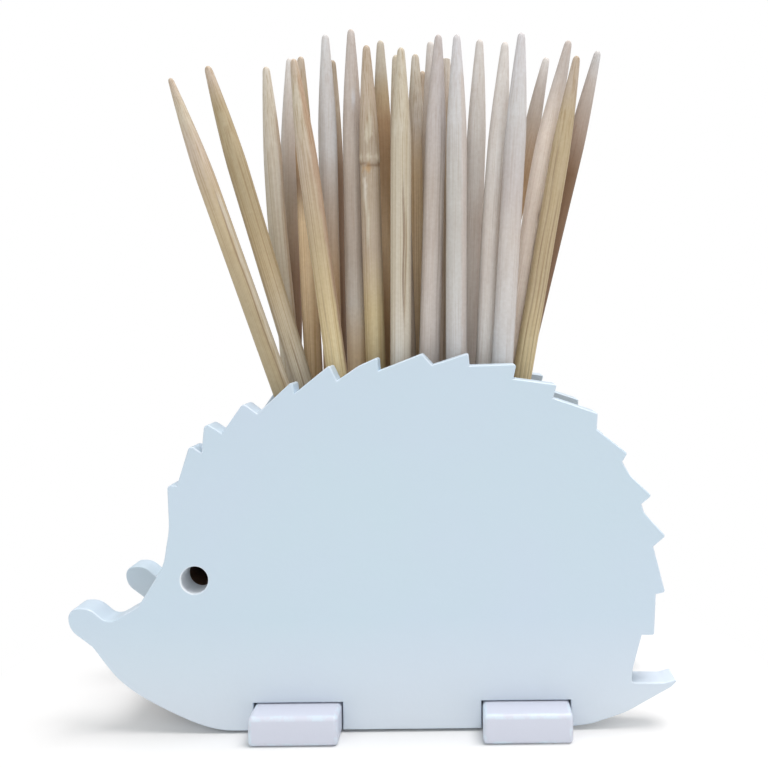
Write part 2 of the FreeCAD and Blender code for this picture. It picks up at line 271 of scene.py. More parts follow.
def build_mottling():
    group, given, wanted = make_group(
        "soft_mottling",
        [("Position", "vector", None), ("Size", "value", 8.0), ("Contrast", "value", 1.0),
         ("Colour A", "colour", (0.5, 0.5, 0.5)), ("Colour B", "colour", (0.6, 0.6, 0.6))],
        [("Colour", "colour"), ("Mask", "value")])
    scale = math_node(group, "DIVIDE", 1.0, given["Size"])
    noise = node(group, "ShaderNodeTexNoise", {"Detail": 3.0, "Roughness": 0.55},
                 {"Vector": given["Position"], "Scale": scale})
    spread = math_node(group, "SUBTRACT", noise.outputs["Fac"], 0.5)
    spread = math_node(group, "MULTIPLY", spread, given["Contrast"])
    spread = math_node(group, "MULTIPLY", spread, NOISE_SPREAD)
    mask = math_node(group, "ADD", spread, 0.5, clamp=True)
    colour = mix_colours(group, mask, given["Colour A"], given["Colour B"])
    group.links.new(colour, wanted["Colour"])
    group.links.new(mask, wanted["Mask"])
    return group


MOTTLING = build_mottling()
print("node group:", MOTTLING.name)

# %% [markdown]
# ### Fibres along the grain
#
# Wood fibre runs the length of a stick. A noise that is squeezed across the stick and
# stretched along it draws such fibres. Two of them at different widths are added: a
# broad one for the bands of growth and a thin one for single strands. The position
# comes in as millimetres in the stick's own frame, with Z along the stick.

# %% Group: fibres along the grain
def build_fibres():
    group, given, wanted = make_group(
        "fibres_along_grain",
        [("Position", "vector", None), ("Band Width", "value", 0.5),
         ("Strand Width", "value", 0.09), ("Length", "value", 14.0)],
        [("Bands", "value"), ("Strands", "value")])
    results = []
    for label, detail in (("Band Width", 2.0), ("Strand Width", 1.0)):
        across = math_node(group, "DIVIDE", 1.0, given[label])
        along = math_node(group, "DIVIDE", 1.0, given["Length"])
        squeeze = node(group, "ShaderNodeCombineXYZ", links={"X": across, "Y": across, "Z": along})
        place = node(group, "ShaderNodeVectorMath", links={0: given["Position"], 1: squeeze.outputs[0]},
                     operation="MULTIPLY")
        noise = node(group, "ShaderNodeTexNoise", {"Scale": 1.0, "Detail": detail, "Roughness": 0.6},
                     {"Vector": place.outputs[0]})
        spread = node(group, "ShaderNodeMapRange", {"From Min": 0.3, "From Max": 0.7},
                      {"Value": noise.outputs["Fac"]})
        results.append(spread.outputs["Result"])
    group.links.new(results[0], wanted["Bands"])
    group.links.new(results[1], wanted["Strands"])
    return group


FIBRES = build_fibres()
print("node group:", FIBRES.name)

# %% [markdown]
# ### Fine relief
#
# Sprayed paint settles into a faint orange peel, with a speck of dust here and there.
# Raw board has a felt of short fibres. Both are heights, so the group gives one height
# and the finish decides how far its Bump node lifts it.

# %% Group: fine relief
def build_relief():
    group, given, wanted = make_group(
        "fine_relief",
        [("Position", "vector", None), ("Ripple Size", "value", 1.0),
         ("Speck Size", "value", 1.6), ("Specks", "value", 0.3)],
        [("Height", "value"), ("Speck Mask", "value")])
    ripple_scale = math_node(group, "DIVIDE", 1.0, given["Ripple Size"])
    ripple = node(group, "ShaderNodeTexNoise", {"Detail": 2.0, "Roughness": 0.5},
                  {"Vector": given["Position"], "Scale": ripple_scale})
    speck_scale = math_node(group, "DIVIDE", 1.0, given["Speck Size"])
    cells = node(group, "ShaderNodeTexVoronoi", links={"Vector": given["Position"], "Scale": speck_scale})
    near = node(group, "ShaderNodeMapRange", {"From Min": 0.10, "From Max": 0.02},
                {"Value": cells.outputs["Distance"]})
    chosen = node(group, "ShaderNodeSeparateColor", links={"Color": cells.outputs["Color"]})
    rare = math_node(group, "LESS_THAN", chosen.outputs["Red"], given["Specks"])
    specks = math_node(group, "MULTIPLY", near.outputs["Result"], rare)
    height = math_node(group, "ADD", ripple.outputs["Fac"], specks)
    group.links.new(height, wanted["Height"])
    group.links.new(specks, wanted["Speck Mask"])
    return group


RELIEF = build_relief()
print("node group:", RELIEF.name)

# %% [markdown]
# ### Edge wear and painted highlight
#
# Paint is thin where it runs over an edge, and an edge is what gets rubbed. The pieces
# below carry a number on every point, 1 on the rounded edge and 0 away from it. The
# group breaks that number up with noise, so that the mark comes and goes along an edge.
# On the paint the lighter mark is partly wear and partly a painted highlight, where the
# light from above catches the rounded rim.

# %% Group: edge wear and painted highlight
# A patch is worn paint, and on the paint it is also a painted highlight on the rim.
EDGE_MARK_SHARPNESS = 9.0     # how suddenly a worn patch begins


def build_edge_wear_and_highlight():
    group, given, wanted = make_group(
        "edge_wear",
        [("Position", "vector", None), ("Edge", "value", 0.0), ("Amount", "value", 0.5),
         ("Patch Size", "value", 2.0)],
        [("Wear", "value")])
    scale = math_node(group, "DIVIDE", 1.0, given["Patch Size"])
    noise = node(group, "ShaderNodeTexNoise", {"Detail": 4.0, "Roughness": 0.65},
                 {"Vector": given["Position"], "Scale": scale})
    keep = math_node(group, "SUBTRACT", 1.0, given["Amount"])
    above = math_node(group, "SUBTRACT", noise.outputs["Fac"], keep)
    sharp = math_node(group, "MULTIPLY", above, EDGE_MARK_SHARPNESS, clamp=True)
    wear_and_highlight = math_node(group, "MULTIPLY", sharp, given["Edge"])
    group.links.new(wear_and_highlight, wanted["Wear"])
    return group


EDGE_WEAR_AND_HIGHLIGHT = build_edge_wear_and_highlight()
print("node group:", EDGE_WEAR_AND_HIGHLIGHT.name)

# %% [markdown]
# ## The finishes
#
# Each finish is one Principled shader with the groups in front of it. Board pieces
# read their position from the object, in metres, so it is scaled to millimetres first.
# Sticks bring their own position along as an attribute on the mesh.

# %% Helpers: start a finish
def start_finish(name, roughness, specular=0.5):
    """A new material with one Principled shader."""
    material = bpy.data.materials.new(name)
    material.use_nodes = True
    tree = material.node_tree
    tree.nodes.clear()
    shader = node(tree, "ShaderNodeBsdfPrincipled",
                  {"Roughness": roughness, "Specular IOR Level": specular})
    node(tree, "ShaderNodeOutputMaterial", links={"Surface": shader.outputs[0]})
    return material, tree, shader


def board_position(tree):
    """Where a point of a board is, in millimetres."""
    place = node(tree, "ShaderNodeTexCoord")
    scaled = node(tree, "ShaderNodeVectorMath", {"Scale": 1 / MM}, {0: place.outputs["Object"]},
                  operation="SCALE")
    return scaled.outputs[0]


def use_group(tree, group, values=None, links=None):
    """Place a node group and give its outputs."""
    return node(tree, "ShaderNodeGroup", values, links, node_tree=group).outputs


# %% [markdown]
# ### Painted board
#
# The plates are sprayed a bluish white with a satin sheen, and the bars, painted apart
# from them, a more neutral one. The colour drifts a little between two close shades.
# Towards the table it is painted paler and more neutral, as painted light thrown up from
# the table. The wall of the eye's bore is painted paler too, as painted light in the hole.
# The rim is a touch lighter, partly worn paint and partly a painted highlight, and the
# paint has a faint peel that only shows where the lamp glances off it. One function
# makes both paints.

# %% Finish: painted board
# Painted light: towards the table the paint turns paler, in place of light thrown up from the table.
TABLE_LIGHT_FROM, TABLE_LIGHT_AT = 11.0, 1.5     # heights in mm between which the colour turns
# Painted highlight: the rim is made lighter, partly worn paint and partly light caught by the rounded edge.
WORN_PAINT_AND_RIM_HIGHLIGHT = (0.62, 0.71, 0.80)


def painted_board(name, greener, more_violet, painted_table_light, in_bore=None):
    material, tree, shader = start_finish(name, 0.36)
    position = board_position(tree)
    drift = use_group(tree, MOTTLING, {"Size": 17.0, "Contrast": 0.9, "Colour A": (*greener, 1),
                                       "Colour B": (*more_violet, 1)}, {"Position": position})
    height = node(tree, "ShaderNodeSeparateXYZ", links={0: position}).outputs["Z"]
    low = node(tree, "ShaderNodeMapRange", {"From Min": TABLE_LIGHT_FROM, "From Max": TABLE_LIGHT_AT},
               {"Value": height})
    colour = mix_colours(tree, low.outputs["Result"], drift["Colour"], painted_table_light)
    # Painted light: the wall of the eye's bore is made paler, in place of light that reaches into the hole.
    if in_bore is not None:
        bore = node(tree, "ShaderNodeAttribute", attribute_name="bore")
        colour = mix_colours(tree, bore.outputs["Fac"], colour, in_bore)
    edge = node(tree, "ShaderNodeAttribute", attribute_name="edge")
    # Partly wear and partly a painted highlight: the rounded rim is made lighter.
    wear_and_highlight = use_group(tree, EDGE_WEAR_AND_HIGHLIGHT, {"Amount": 0.55, "Patch Size": 2.2},
                     {"Position": position, "Edge": edge.outputs["Fac"]})
    colour = mix_colours(tree, wear_and_highlight["Wear"], colour, WORN_PAINT_AND_RIM_HIGHLIGHT)
    relief = use_group(tree, RELIEF, {"Ripple Size": 0.7, "Speck Size": 3.0, "Specks": 0.10},
                       {"Position": position})
    bump = node(tree, "ShaderNodeBump", {"Strength": 0.35, "Distance": 0.00003},
                {"Height": relief["Height"]})
    gloss = node(tree, "ShaderNodeMapRange", {"To Min": 0.33, "To Max": 0.41}, {"Value": drift["Mask"]})
    tree.links.new(colour, shader.inputs["Base Color"])
    tree.links.new(gloss.outputs["Result"], shader.inputs["Roughness"])
    tree.links.new(bump.outputs[0], shader.inputs["Normal"])
    return material


PAINT = painted_board("bluish_white_paint", (0.540, 0.672, 0.752), (0.553, 0.655, 0.766),
                      painted_table_light=(0.633, 0.705, 0.780), in_bore=(0.80, 0.85, 0.90))
BAR_PAINT = painted_board("neutral_white_paint", (0.605, 0.648, 0.730), (0.620, 0.634, 0.743),
                          painted_table_light=(0.613, 0.643, 0.735))
print("finishes:", PAINT.name, BAR_PAINT.name)

# %% [markdown]
# ### Bare board
#
# The layers inside are raw fibre board, brown and dry, and coloured darker than bare
# board is, as painted shade that keeps the eye and the slot dark deep inside. It is
# cooked wood fibre pressed flat, so its cut edge shows thin lines that run along the sheet.

# %% Finish: bare board
# Painted shade: these browns are darker than bare board, so that the eye and the slot look dark deep inside.
BOARD_DARK = (0.030, 0.013, 0.007)
BOARD_BROWN = (0.070, 0.032, 0.017)
BOARD_LINES = (0.085, 0.045, 0.026)
WORN_BOARD = (0.12, 0.07, 0.045)
SQUEEZE = (0.25, 6.0, 0.25)              # the lines run along the sheet, so they are thin in Y


def bare_board_with_painted_shade():
    material, tree, shader = start_finish("raw_fibre_board", 0.85, 0.25)
    position = board_position(tree)
    tone = use_group(tree, MOTTLING, {"Size": 1.3, "Contrast": 1.3, "Colour A": (*BOARD_DARK, 1),
                                      "Colour B": (*BOARD_BROWN, 1)}, {"Position": position})
    sheet = node(tree, "ShaderNodeVectorMath", {1: SQUEEZE}, {0: position}, operation="MULTIPLY")
    lines = node(tree, "ShaderNodeTexNoise", {"Scale": 1.0, "Detail": 2.0}, {"Vector": sheet.outputs[0]})
    colour = mix_colours(tree, lines.outputs["Fac"], tone["Colour"], BOARD_LINES)
    edge = node(tree, "ShaderNodeAttribute", attribute_name="edge")
    wear_and_highlight = use_group(tree, EDGE_WEAR_AND_HIGHLIGHT, {"Amount": 0.5, "Patch Size": 0.9},
                     {"Position": position, "Edge": edge.outputs["Fac"]})
    colour = mix_colours(tree, wear_and_highlight["Wear"], colour, WORN_BOARD)
    relief = use_group(tree, RELIEF, {"Ripple Size": 0.16, "Speck Size": 0.8, "Specks": 0.4},
                       {"Position": position})
    bump = node(tree, "ShaderNodeBump", {"Strength": 0.7, "Distance": 0.00006},
                {"Height": relief["Height"]})
    tree.links.new(colour, shader.inputs["Base Color"])
    tree.links.new(bump.outputs[0], shader.inputs["Normal"])
    return material


RAW_BOARD_PAINTED_DARK = bare_board_with_painted_shade()
print("finish:", RAW_BOARD_PAINTED_DARK.name)

# %% [markdown]
# ### Toothpick wood
#
# Birch is pale, between a rosy and a silvery white, with short soft grain and tiny
# cross marks from the cutter. Bamboo is straw to tan and has strong straight strands.
# No two sticks have the same tone, so the tone itself is stored on each stick's points,
# with the painted shade and painted light that some tones carry, and the finish only
# tints it: a slow drift, bands of growth, dark strands and pores each multiply it by a
# darker shade. One function makes both woods, because they differ only in how strong and
# how long those marks are.

# %% Finishes: birch and bamboo
SPLIT_BROWN = (0.17, 0.09, 0.04)         # the inside of a split, and the joint of a knot
FLECK = (0.91, 0.89, 0.87)


def stick_wood(name, drift, band, strand, widths, strand_amount, chatter, roughness):
    material, tree, shader = start_finish(name, roughness, 0.3)
    place = node(tree, "ShaderNodeAttribute", attribute_name="stick_place")
    position = place.outputs["Vector"]
    band_width, strand_width, length = widths
    grain = use_group(tree, FIBRES, {"Band Width": band_width, "Strand Width": strand_width,
                                     "Length": length}, {"Position": position})
    slow = use_group(tree, MOTTLING, {"Size": 5.0, "Contrast": 1.2, "Colour A": (1, 1, 1, 1),
                                      "Colour B": (*drift, 1)}, {"Position": position})
    fleck = use_group(tree, MOTTLING, {"Size": 0.35, "Contrast": 0.9, "Colour A": (1, 1, 1, 1),
                                       "Colour B": (*FLECK, 1)}, {"Position": position})
    tone = node(tree, "ShaderNodeAttribute", attribute_name="own_tone")
    colour = mix_colours(tree, 1.0, tone.outputs["Color"], slow["Colour"], "MULTIPLY")
    colour = mix_colours(tree, 1.0, colour, fleck["Colour"], "MULTIPLY")
    colour = mix_colours(tree, grain["Bands"], colour, band, "MULTIPLY")
    streak = math_node(tree, "SUBTRACT", grain["Strands"], 0.5, clamp=True)
    streak = math_node(tree, "MULTIPLY", streak, strand_amount, clamp=True)
    colour = mix_colours(tree, streak, colour, strand, "MULTIPLY")
    relief = use_group(tree, RELIEF, {"Ripple Size": 0.20, "Speck Size": 0.5, "Specks": chatter},
                       {"Position": position})
    pores = math_node(tree, "MULTIPLY", relief["Speck Mask"], 0.45)
    colour = mix_colours(tree, pores, colour, strand, "MULTIPLY")
    flaw = node(tree, "ShaderNodeAttribute", attribute_name="flaw")
    colour = mix_colours(tree, flaw.outputs["Fac"], colour, SPLIT_BROWN)
    height = math_node(tree, "MULTIPLY", relief["Height"], 0.5)
    height = math_node(tree, "SUBTRACT", height, math_node(tree, "MULTIPLY", grain["Strands"], 0.9))
    bump = node(tree, "ShaderNodeBump", {"Strength": 0.5, "Distance": 0.00004}, {"Height": height})
    tree.links.new(colour, shader.inputs["Base Color"])
    tree.links.new(bump.outputs[0], shader.inputs["Normal"])
    return material


BIRCH = stick_wood("pale_birch", drift=(0.93, 0.91, 0.90), band=(0.92, 0.90, 0.88),
                   strand=(0.78, 0.69, 0.63), widths=(0.45, 0.11, 8.0), strand_amount=0.8,
                   chatter=0.6, roughness=0.68)
BAMBOO = stick_wood("straw_bamboo", drift=(0.95, 0.93, 0.89), band=(0.90, 0.87, 0.80),
                    strand=(0.66, 0.54, 0.40), widths=(0.34, 0.12, 30.0), strand_amount=1.2,
                    chatter=0.15, roughness=0.60)
print("finishes:", BIRCH.name, BAMBOO.name)

# %% [markdown]
# ## Board pieces with softened edges
#
# A saw leaves board with square edges, and paint then rounds them. A bevel modifier
# could round the CAD plates, but it trips over the sharp notches between the teeth. A
# board is simply an outline with a thickness, so it's cleaner to rebuild it: read the
# outline from the CAD face, draw it again a little smaller for each step of the
# rounding, and join the rings. First, the outline.

# %% Read a board's outline
SAME_POINT = 1e-7        # metres between points that are really one
ON_THE_FACE = 1e-6       # metres off a flat side that still count as on it
STRAIGHT = 0.002         # sine of a turn that is too small to keep a point for


def board_outlines(node_name):
    """The outlines of a flat board as (x, z) points in order, with its front and back y."""
    shape = bmesh.new()
    shape.from_mesh(frame["nodes"][node_name].data)
    bmesh.ops.remove_doubles(shape, verts=shape.verts, dist=SAME_POINT)
    front_y = min(vert.co.y for vert in shape.verts)
    back_y = max(vert.co.y for vert in shape.verts)
    front = [face for face in shape.faces
             if all(vert.co.y - front_y < ON_THE_FACE for vert in face.verts)]
    on_front = set(front)                # for asking only: a set has no order of its own
    follow = {}
    for face in front:
        for corner in face.loops:
            if any(other not in on_front for other in corner.edge.link_faces):
                follow[corner.vert] = corner.link_loop_next.vert
    outlines = []
    while follow:
        vert = next(iter(follow))
        points = []
        while vert in follow:
            points.append(Vector((vert.co.x, vert.co.z)))
            vert = follow.pop(vert)
        outlines.append(without_straight_points(points))
    shape.free()
    return outlines, front_y, back_y


def without_straight_points(points):
    """The outline without the points in the middle of its straight stretches."""
    kept = []
    for index, point in enumerate(points):
        before = (point - points[index - 1]).normalized()
        after = (points[(index + 1) % len(points)] - point).normalized()
        if abs(before.cross(after)) > STRAIGHT:
            kept.append(point)
    return kept


plate_outlines = board_outlines("front_plate")[0]
hedgehog = max(plate_outlines, key=len)
print("points in the plate's outlines:", [len(outline) for outline in plate_outlines])

# %% [markdown]
# The chin is one long sweep of the saw. The CAD outline has it as straight stretches
# with a rounding between them, which shows as facets up close. So a smooth curve is
# drawn through the middles of those roundings. It leaves the straight stretches by a
# quarter of a millimetre at most, and the rest of the outline stays as it is.

# %% Helper: the sweep of the chin
CHIN_END = -11.6 * MM                    # the chin is left of this and below the nose
CHIN_TOP = 8.6 * MM
LONG_STRETCH = 1.2 * MM                  # a run this long is straight, not part of a rounding
CURVE_STEPS = 12                         # new points from one rounding to the next
UNDER_THE_BODY = Vector((1, 0))          # the curve ends level, where the belly begins


def swept_chin(points):
    """The outline with its straight stretches under the chin turned into one curve."""
    under = [point.x < CHIN_END and point.y < CHIN_TOP for point in points]
    first = next(i for i in range(len(points)) if under[i] and not under[i - 1])
    turned = points[first:] + points[:first]
    count = sum(under)
    chain, rest = turned[:count], turned[count:]
    backwards = chain[0].y < chain[-1].y
    if backwards:
        chain.reverse()
    roundings = [[chain[0]]]
    for before, point in zip(chain, chain[1:]):
        if (point - before).length > LONG_STRETCH:
            roundings.append([])
        roundings[-1].append(point)
    start = roundings[0]
    knots = [start[-1]] + [group[len(group) // 2] for group in roundings[1:-1]] + [roundings[-1][-1]]
    swept = start + curve_through(knots, UNDER_THE_BODY)
    return (swept[::-1] if backwards else swept) + rest


def curve_through(knots, last_direction):
    """Points of a smooth curve through the knots, without the first one."""
    chords = [after - before for before, after in zip(knots, knots[1:])]
    directions = [chords[0].normalized()]
    for before, after in zip(chords, chords[1:]):
        turn = before.normalized() / before.length + after.normalized() / after.length
        directions.append(turn.normalized())
    directions.append(last_direction)
    curve = []
    for index, chord in enumerate(chords):
        pull_out = directions[index] * chord.length
        pull_in = directions[index + 1] * chord.length
        for step in range(1, CURVE_STEPS + 1):
            t = step / CURVE_STEPS
            curve.append((2 * t ** 3 - 3 * t ** 2 + 1) * knots[index]
                         + (t ** 3 - 2 * t ** 2 + t) * pull_out
                         + (3 * t ** 2 - 2 * t ** 3) * knots[index + 1]
                         + (t ** 3 - t ** 2) * pull_in)
    return curve


print("points with the sweep:", len(swept_chin(hedgehog)))

# %% [markdown]
# Each corner of an outline moves inwards along its own mitre line, so all edges stay
# parallel. A corner that turns by more than 38 degrees keeps its crease.

# %% Corners of an outline
CREASE = math.cos(math.radians(38))
LEAST_SPREAD = 0.2                       # keeps the mitre of a sharp notch from growing long


def outline_corners(points):
    """For each corner: its mitre, and the outward normals of the edges before and after."""
    corners = []
    for index, point in enumerate(points):
        before = (point - points[index - 1]).normalized()
        after = (points[(index + 1) % len(points)] - point).normalized()
        out_before = Vector((before.y, -before.x))
        out_after = Vector((after.y, -after.x))
        mitre = (out_before + out_after) / max(1 + out_before.dot(out_after), LEAST_SPREAD)
        if out_before.dot(out_after) > CREASE:
            out_before = out_after = mitre.normalized()
        corners.append((mitre, out_before, out_after))
    return corners


print("creased corners:", sum(before != after for _, before, after in outline_corners(hedgehog)))

# %% [markdown]
# Every piece ends the same way: its points get numbers, and it gets a material and a
# body to ride on. The numbers are attributes, which a material reads by name. A painted
# picture would do too, but it would have to be wrapped round the piece first.

# %% Helpers: a new piece
def set_numbers(mesh, name, numbers, kind="FLOAT", field="value"):
    """Store numbers, one set for each point, in a named attribute."""
    attribute = mesh.attributes.new(name, kind, "POINT")
    attribute.data.foreach_set(field, numbers)


def add_piece(name, mesh, material, body):
    piece = bpy.data.objects.new(name, mesh)
    bpy.context.scene.collection.objects.link(piece)
    mesh.materials.append(material)
    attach(piece, body)
    return piece


# %% [markdown]
# The rings run from the front face over the rounded rim, along the wall and round to
# the back face. Every face corner gets its normal one by one: the flat sides point straight
# out, so they shade as flat paint, and the rim turns smoothly. The points in the middle
# of the rim get the number 1 in an attribute named edge, which the finishes use for wear
# and, on the paint, for a painted highlight.

# %% Helpers: the rings of a board
BORE_POINTS = 60         # an outline with fewer points is the bore of the eye


def rim_profile(front_y, back_y, radius, steps):
    """Rows of (inset, y, share of the outward normal, share along y, edge number)."""
    rows = []
    for step in range(steps, -1, -1):
        turn = math.radians(90) * step / steps
        rows.append((radius * (1 - math.cos(turn)), front_y + radius * (1 - math.sin(turn)),
                     math.cos(turn), -math.sin(turn), math.sin(2 * turn)))
    for inset, y, outward, along, edge in reversed(list(rows)):
        rows.append((inset, back_y - (y - front_y), outward, -along, edge))
    return rows


def board_rings(outlines, rows):
    """The points of every ring, with their edge numbers and bore numbers."""
    points, edge_numbers, bore_numbers = [], [], []
    for row, (inset, y, _, _, edge) in enumerate(rows):
        on_wall = 0 < row < len(rows) - 1
        for outline in outlines:
            bore = 1.0 if on_wall and len(outline) < BORE_POINTS else 0.0
            for point, (mitre, _, _) in zip(outline, outline_corners(outline)):
                moved = point - mitre * inset
                points.append(Vector((moved.x, y, moved.y)))
                edge_numbers.append(edge)
                bore_numbers.append(bore)
    return points, edge_numbers, bore_numbers


# %% [markdown]
# Neighbouring rings are joined by four-sided faces. The first ring and the last one are
# filled with triangles, because one big face can't have the hole of the eye in it.

# %% Helpers: the faces of a board
def rim_and_wall(outlines, rows):
    """The faces between neighbouring rings, and a normal for each of their corners."""
    total = sum(len(outline) for outline in outlines)
    faces, normals = [], []
    for row in range(len(rows) - 1):
        start = row * total
        for outline in outlines:
            corners = outline_corners(outline)
            count = len(outline)
            for index in range(count):
                after = (index + 1) % count
                a, b = start + index, start + after
                faces.append((a, a + total, b + total, b))
                left, right = corners[index][2], corners[after][1]
                for flat, (_, _, outward, along, _) in ((left, rows[row]), (left, rows[row + 1]),
                                                        (right, rows[row + 1]), (right, rows[row])):
                    normals.append((flat.x * outward, along, flat.y * outward))
            start += count
    return faces, normals


def flat_sides(points, outlines):
    """The faces that fill the first ring and the last one, holes left open, and normals."""
    total = sum(len(outline) for outline in outlines)
    faces, normals = [], []
    for first, direction in ((0, -1), (len(points) - total, 1)):
        rings, start = [], first
        for outline in outlines:
            rings.append([Vector((p.x, p.z, 0)) for p in points[start:start + len(outline)]])
            start += len(outline)
        for triangle in geometry.tessellate_polygon(rings):
            a, b, c = (points[first + index] for index in triangle)
            turned = (b - a).cross(c - a).y * direction
            if abs(turned) > 0:
                order = triangle if turned > 0 else tuple(reversed(triangle))
                faces.append(tuple(first + index for index in order))
                normals.extend([(0, direction, 0)] * 3)
    return faces, normals


# %% [markdown]
# Rings, faces and numbers then make one mesh, which takes the place of the CAD board.

# %% Helper: a softened copy of a CAD board
def softened_board(node_name, name, material, radius, steps, sweep=False):
    """The board with rounded edges; sweep draws the stretches of its chin as one curve."""
    outlines, front_y, back_y = board_outlines(node_name)
    if sweep:
        outlines = [swept_chin(points) if len(points) > BORE_POINTS else points for points in outlines]
    rows = rim_profile(front_y, back_y, radius, steps)
    points, edge_numbers, bore_numbers = board_rings(outlines, rows)
    faces, normals = rim_and_wall(outlines, rows)
    flat_faces, flat_normals = flat_sides(points, outlines)
    mesh = bpy.data.meshes.new(name)
    mesh.from_pydata(points, [], faces + flat_faces)
    mesh.polygons.foreach_set("use_smooth", [True] * len(mesh.polygons))
    mesh.normals_split_custom_set(normals + flat_normals)
    set_numbers(mesh, "edge", edge_numbers)
    set_numbers(mesh, "bore", bore_numbers)
    piece = add_piece(name, mesh, material, "holder")
    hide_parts(node_name)
    print(name, len(mesh.polygons), "faces")


# %% [markdown]
# ## Two plates and four layers
#
# The plates are one hedgehog cut twice, and the layers between them make the end walls
# and the floor of the slot. All six are boards, so one function makes them. Paint rounds
# an edge more than the saw does: the plates get the wider rounding, in four steps, and
# the raw layers a narrow one in two.

# %% The plates and the layers
for node_name in ("front_plate", "back_plate"):
    softened_board(node_name, f"{node_name}_painted", PAINT,
                   radius=0.14 * MM, steps=4, sweep=True)
for node_name in sorted(name for name in frame["nodes"] if name.startswith("slot_layer")):
    softened_board(node_name, f"{node_name}_raw", RAW_BOARD_PAINTED_DARK, radius=0.06 * MM, steps=2)

# %% [markdown]
# ## Foot bars
#
# The bars are short lengths of the same board, rounded on every edge by sanding and
# paint. A block with a five-step bevel on all twelve edges gives that. A point that
# still lies on one of the six flat sides gets the edge number 0, and one in the middle
# of a rounding gets 1, so that the wear and the painted rim highlight keep off the flat
# sides.

# %% Foot bars
BAR_ROUNDING = 0.45 * MM


def foot_bar(node_name):
    low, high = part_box(node_name)
    size, middle = high - low, (high + low) / 2
    shape = bmesh.new()
    bmesh.ops.create_cube(shape, size=1.0)
    for vert in shape.verts:
        vert.co = Vector(c * s for c, s in zip(vert.co, size)) + middle
    bmesh.ops.bevel(shape, geom=list(shape.edges), offset=BAR_ROUNDING, offset_type="OFFSET",
                    segments=5, profile=0.5, affect="EDGES", clamp_overlap=True)
    numbers = []
    for vert in shape.verts:
        inside = [s / 2 - abs(c - m) for c, m, s in zip(vert.co, middle, size)]
        numbers.append(0.0 if min(inside) < ON_THE_FACE else 1.0)
    for face in shape.faces:
        face.smooth = True
    mesh = bpy.data.meshes.new(node_name)
    shape.to_mesh(mesh)
    shape.free()
    set_numbers(mesh, "edge", numbers)
    piece = add_piece(f"{node_name}_painted", mesh, BAR_PAINT, "holder")
    weighted = piece.modifiers.new("flat_faces_stay_flat", "WEIGHTED_NORMAL")
    weighted.keep_sharp = True
    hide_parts(node_name)
    print(piece.name, "size in mm:", [round(s / MM, 2) for s in size])


for node_name in ("foot_bar_left", "foot_bar_right"):
    foot_bar(node_name)

# %% [markdown]
# ## Toothpicks
#
# A toothpick is a thin rod with a long taper to a blunt point at each end. Real ones
# are never true: the rod is a little flattened, wanders by a hair, and its surface is
# split along the grain. So each is built ring by ring along its own axis, from the foot
# point to the tip, both read from the CAD solid. Every point also stores where it lies
# in the stick's own frame, in millimetres, for the grain.

# %% Where each stick stands
def stick_axis(node_name):
    """Foot point, direction, length and radius of a CAD toothpick, in metres."""
    joint = next(j for j in frame["joints"] if j["child"] == node_name)
    along = Vector(joint["axis"]).normalized()
    points = [vert.co.copy() for vert in frame["nodes"][node_name].data.vertices]
    heights = [point.dot(along) for point in points]
    low, high = min(heights), max(heights)
    middle = sum(points, Vector()) / len(points)
    foot = middle + along * (low - middle.dot(along))
    radius = max((point - foot - along * (point - foot).dot(along)).length for point in points)
    return foot, along, high - low, radius


print("length and radius of one stick in mm:",
      [round(measure / MM, 2) for measure in stick_axis("toothpick_knotted")[2:]])

# %% [markdown]
# The taper of a real point bulges slightly before it runs out, and the very end is a
# small dome, half as tall again as it is wide. One function gives the radius at a
# distance from the nearer end. Most points are worn to the same dome, and one is finer.

# %% The outline of a point
WORN_POINT = 0.40                        # radius of the dome in millimetres
FINE_POINTS = {"far_left": 0.28}
DOME_HEIGHT = 1.5                        # as a multiple of the dome's radius
TIP = 0.02 * MM                          # the last ring is never smaller than this
TAPER_LENGTH = 11.0 * MM
TAPER_BULGE = 1.5                        # 1 is a straight taper


def radius_at(distance, full, dome):
    """The radius at a distance from the nearer end, for a rod of the full radius."""
    tall = DOME_HEIGHT * dome
    if distance < tall:
        rise = 1 - distance / tall
        return max(dome * math.sqrt(max(1 - rise * rise, 0.0)), TIP)
    if distance < TAPER_LENGTH:
        share = 1 - (distance - tall) / (TAPER_LENGTH - tall)
        return dome + (full - dome) * (1 - share ** TAPER_BULGE)
    return full


print("radius in mm at 0, 1, 5 and 12 mm:",
      [round(radius_at(place * MM, MM, WORN_POINT * MM) / MM, 2) for place in (0, 1, 5, 12)])

# %% [markdown]
# Each stick takes its tone from a small palette. It can change along the stick, so the
# tone is given at one or more heights, as shares of the length from the foot. Sticks
# deep in the bundle are browner, and the ones in front are bleached. Some tones are
# painted light and shade: bark and red brown low on the deep sticks are painted shade of
# the bundle, and honey low on a few sticks is painted light thrown up from the plates.

# %% Tones
# Painted light and shade in the palette: bark and red brown are painted shade, honey is painted light from the
# plates, and copper is partly painted shade.
PALETTE = {
    "white": (0.79, 0.78, 0.76), "shell": (0.74, 0.70, 0.66), "bluish": (0.70, 0.71, 0.74),
    "silver": (0.68, 0.69, 0.70), "pale_grey": (0.61, 0.61, 0.59), "lavender": (0.62, 0.59, 0.585),
    "pinkish": (0.65, 0.61, 0.58), "rosy": (0.60, 0.55, 0.51), "beige": (0.56, 0.50, 0.44),
    "dun": (0.49, 0.42, 0.34), "umber": (0.42, 0.33, 0.27), "ivory": (0.70, 0.67, 0.61),
    "peach": (0.68, 0.60, 0.53), "cream": (0.64, 0.60, 0.51), "honey": (0.88, 0.72, 0.50),
    "gold": (0.74, 0.64, 0.41), "tan": (0.58, 0.50, 0.42), "straw": (0.56, 0.47, 0.32),
    "olive": (0.47, 0.40, 0.27), "copper": (0.50, 0.38, 0.29), "brown": (0.54, 0.385, 0.235),
    "bark": (0.30, 0.21, 0.15), "blush": (0.93, 0.85, 0.77), "red_brown": (0.24, 0.15, 0.09)}
